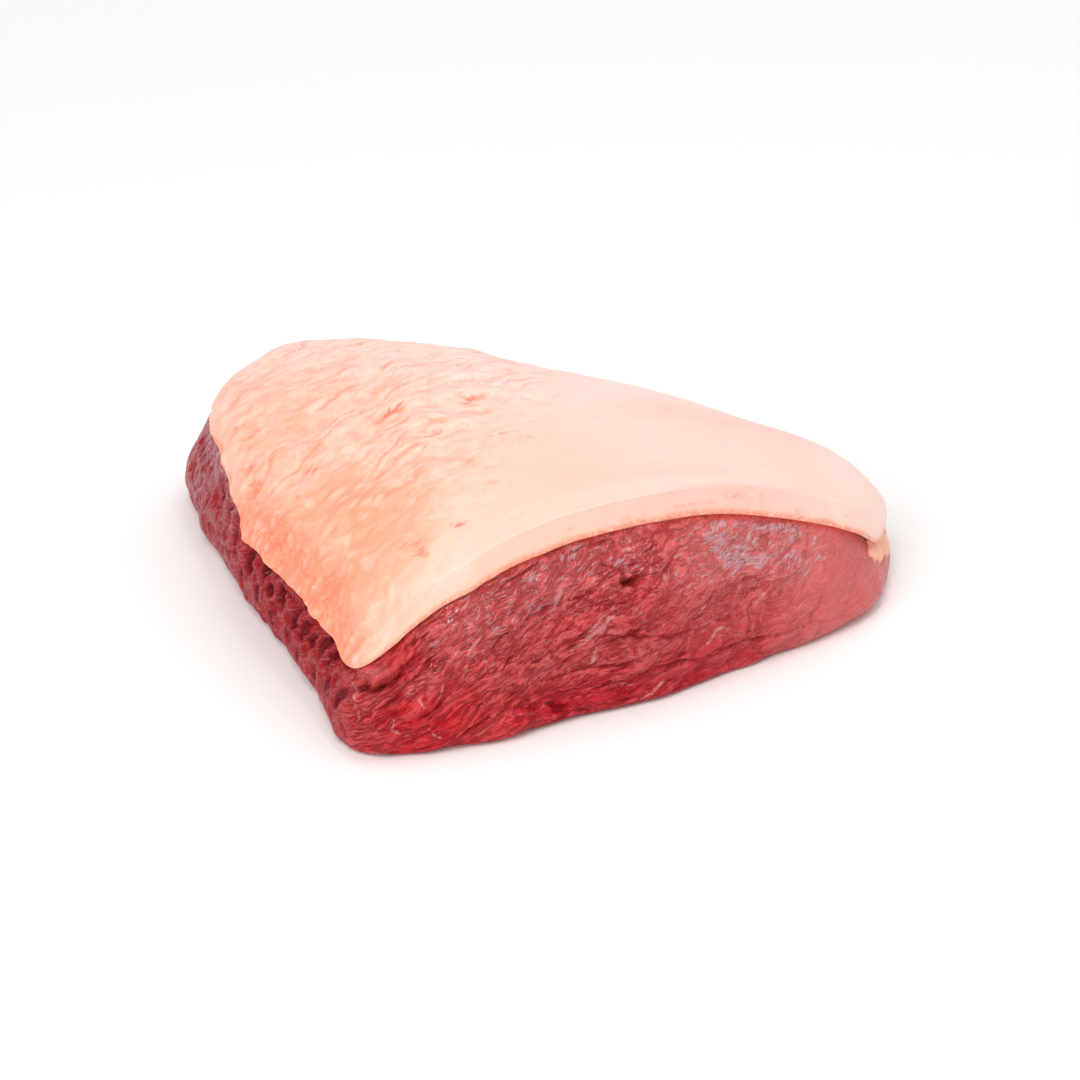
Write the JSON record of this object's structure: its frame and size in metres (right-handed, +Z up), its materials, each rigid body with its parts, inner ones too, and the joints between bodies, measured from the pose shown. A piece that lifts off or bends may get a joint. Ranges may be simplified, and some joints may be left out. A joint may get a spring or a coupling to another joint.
{
  "type": "raw picanha",
  "caption": "Raw beef rump cap lying fat side up: a three-cornered lean muscle under its thick fat cap, with rough cut sides and a flat underside.",
  "frame": {"origin": "middle of the bounding box in plan, on the plane that the underside rests on", "axes": "+Z up through the fat cap, +X along the long front cut towards the thin tip, and the front cut faces -Y"},
  "size_m": [0.2316, 0.195, 0.0614],
  "materials": {
    "lean_beef": "raw lean beef, deep pink-red with darker clefts, pale marbling and a moist sheen",
    "beef_fat": "raw beef fat, peach pink to cream, waxy and slightly moist"
  },
  "bodies": {
    "root": {"lean_muscle": "lean_beef", "fat_cap": "beef_fat"}
  },
  "joints": []
}
